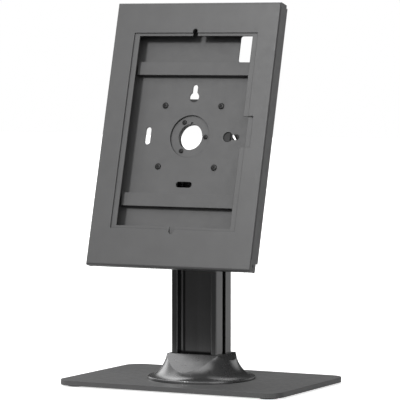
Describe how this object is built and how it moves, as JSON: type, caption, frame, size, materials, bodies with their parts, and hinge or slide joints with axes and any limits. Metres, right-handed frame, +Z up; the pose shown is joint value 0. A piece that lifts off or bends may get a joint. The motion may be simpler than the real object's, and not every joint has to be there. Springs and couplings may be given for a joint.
{
  "type": "tablet security kiosk stand",
  "caption": "Desktop kiosk stand: lockable framed tablet case on a tilting, swivelling head, carried by a slotted column on a flat rectangular base.",
  "frame": {"origin": "on the table, under the middle of the base plate and of the column", "axes": "+Z up; -Y is the side of the screen window; +X is to the right of someone facing the window"},
  "size_m": [0.296, 0.196, 0.4598],
  "materials": {
    "dark_powder_coat": "fine matt texture",
    "dark_anodised": "satin anodised, dark grey",
    "dark_moulding": "matt",
    "black_rubber": "matt",
    "black_steel": "black oxide",
    "zinc_steel": "zinc plated",
    "lock_chrome": "polished",
    "nylon": "matt"
  },
  "bodies": {
    "stand": {"base_plate": "dark_powder_coat", "base_feet": "black_rubber", "column": "dark_anodised", "base_screws": "zinc_steel", "collar": "dark_moulding", "column_bracket": "dark_powder_coat", "bracket_screws": "zinc_steel", "pivot_bolts": "black_steel", "pivot_nuts": "zinc_steel", "guide_bolts": "black_steel", "guide_nuts": "zinc_steel", "tilt_washers": "nylon"},
    "yoke": {"tilt_yoke": "dark_powder_coat", "swivel_bush": "nylon", "retaining_ring": "dark_powder_coat", "ring_screws": "black_steel", "friction_washer": "nylon", "stop_pin": "zinc_steel"},
    "case_back": {"vesa_plate": "dark_powder_coat", "back_tray": "dark_powder_coat", "vesa_screws": "black_steel", "upper_rest": "dark_powder_coat", "lower_rest": "dark_powder_coat", "hinge_pins": "black_steel", "lock_housing": "lock_chrome", "lock_nut": "zinc_steel"},
    "lock": {"lock_plug": "lock_chrome", "lock_cam": "zinc_steel", "cam_screw": "zinc_steel"},
    "cover": {"front_cover": "dark_powder_coat", "window_frame": "dark_powder_coat", "cover_catch": "dark_powder_coat"}
  },
  "joints": [
    {"name": "head_tilt", "type": "hinge", "parent": "stand", "child": "yoke", "pos_m": [0, -0.024, 0.274], "axis": [-1, 0, 0], "range_deg": [-15, 60]},
    {"name": "head_swivel", "type": "hinge", "parent": "yoke", "child": "case_back", "pos_m": [0, -0.026, 0.29938], "axis": [0, 0.9659, -0.2588], "range_deg": [0, 90]},
    {"name": "cover_hinge", "type": "hinge", "parent": "case_back", "child": "cover", "pos_m": [0, -0.08139, 0.15313], "axis": [1, 0, 0], "range_deg": [0, 95]},
    {"name": "lock_turn", "type": "hinge", "parent": "case_back", "child": "lock", "pos_m": [0, 0.00685, 0.43552], "axis": [0, -0.9659, 0.2588], "range_deg": [0, 90]}
  ]
}
